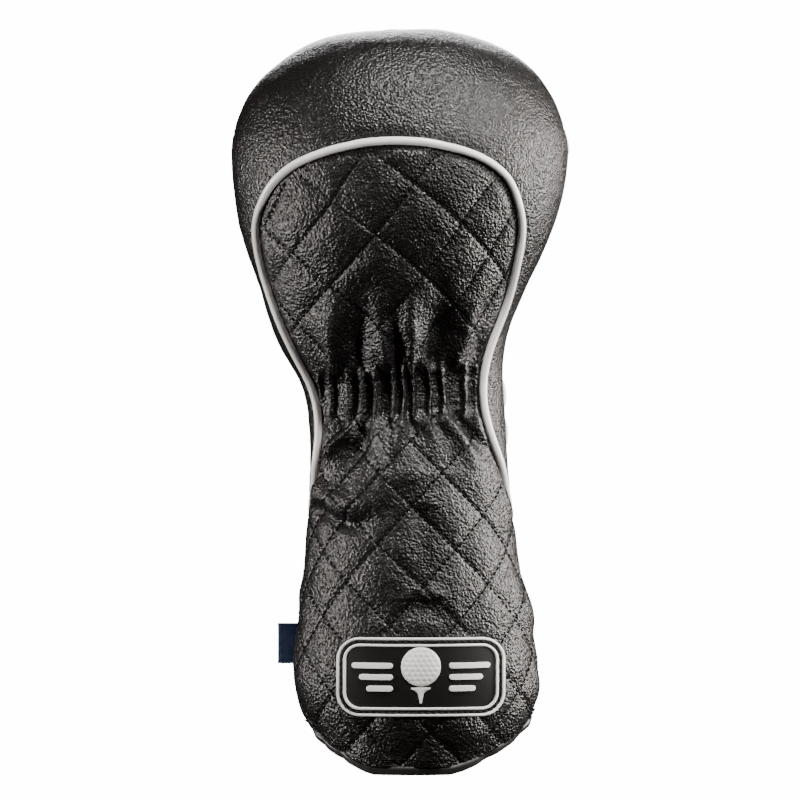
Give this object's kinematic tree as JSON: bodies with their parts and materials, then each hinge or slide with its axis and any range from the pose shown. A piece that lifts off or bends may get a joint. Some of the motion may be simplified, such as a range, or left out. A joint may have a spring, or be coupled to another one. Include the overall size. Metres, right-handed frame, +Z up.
{
  "type": "golf driver head cover",
  "caption": "Padded leather sock cover for a golf driver head, with a quilted back, white piped seam, elastic neck, moulded badge and ribbon tag.",
  "frame": {"origin": "on the surface the hem stands on, under the middle of the cover's bounding box", "axes": "+Z up from the open hem to the crown; the quilted back with the badge faces -Y, the plain embroidered front faces +Y, and the ribbon tag is on the -X side seam"},
  "size_m": [0.1471, 0.1106, 0.3198],
  "materials": {
    "leather": "pebble-grain synthetic leather, black, soft satin sheen",
    "quilted_leather": "pebble-grain synthetic leather, black, quilted in squares",
    "foam": "thin grey laminated foam",
    "wadding": "loose polyester wadding",
    "lining": "short black plush",
    "elastic": "woven black elastic",
    "binding": "smooth black turned edge",
    "black_thread": "twisted black polyester thread",
    "white_piping": "smooth white coated piping, soft gloss",
    "cotton_cord": "twisted cotton filler cord",
    "badge_black": "moulded soft vinyl, matt charcoal",
    "badge_white": "moulded soft vinyl, matt white",
    "blue_ribbon": "woven satin ribbon, royal blue",
    "white_embroidery": "raised satin-stitch embroidery, white"
  },
  "bodies": {
    "cover": {"front_panel": "leather", "back_panel": "quilted_leather", "front_foam": "foam", "back_wadding": "wadding", "front_lining": "lining", "back_lining": "lining", "elastic_band": "elastic", "hem_binding": "binding", "hem_stitching": "black_thread", "gather_stitching": "black_thread", "quilting_thread": "black_thread", "piping_cover": "white_piping", "piping_cord": "cotton_cord", "badge_base": "badge_black", "badge_outer_rim": "badge_white", "badge_inner_rim": "badge_white", "badge_stitching": "black_thread", "badge_ball": "badge_white", "badge_tee": "badge_white", "badge_bars": "badge_white", "embroidered_bars": "white_embroidery"},
    "tag": {"loop_tag": "blue_ribbon"}
  },
  "joints": [
    {"name": "tag_flap", "type": "hinge", "parent": "cover", "child": "tag", "pos_m": [-0.0442, 0.0128, 0.054], "axis": [0, 0, 1], "range_deg": [-4, 65]}
  ]
}
